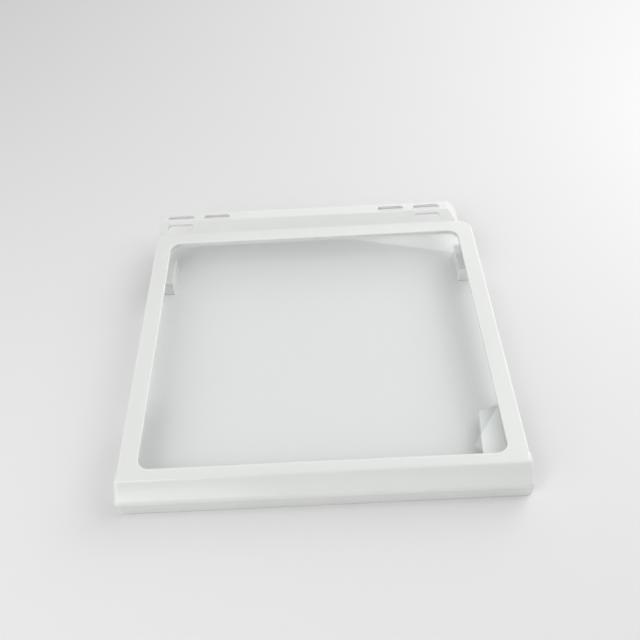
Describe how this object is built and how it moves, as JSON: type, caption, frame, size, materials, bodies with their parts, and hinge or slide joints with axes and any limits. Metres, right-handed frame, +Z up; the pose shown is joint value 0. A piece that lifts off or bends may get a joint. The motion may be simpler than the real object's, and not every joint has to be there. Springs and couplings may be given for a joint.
{
  "type": "freezer shelf",
  "caption": "Glass freezer shelf in a white moulded frame with a sloping front nose, a raised slotted rear rail, two rear feet and a corner web, to rest on a cabinet's ledges.",
  "frame": {"origin": "middle of the footprint, on the surface that the nose and the rear feet stand on", "axes": "+X to the right seen from the front, +Y from the front nose to the rear rail, +Z up out of the glass"},
  "size_m": [0.3606, 0.3748, 0.04],
  "materials": {
    "white_moulding": "satin gloss, faintly cool white",
    "tempered_glass": "clear, polished, faint green edge"
  },
  "bodies": {
    "root": {"moulded_frame": "white_moulding", "glass_pane": "tempered_glass"}
  },
  "joints": []
}
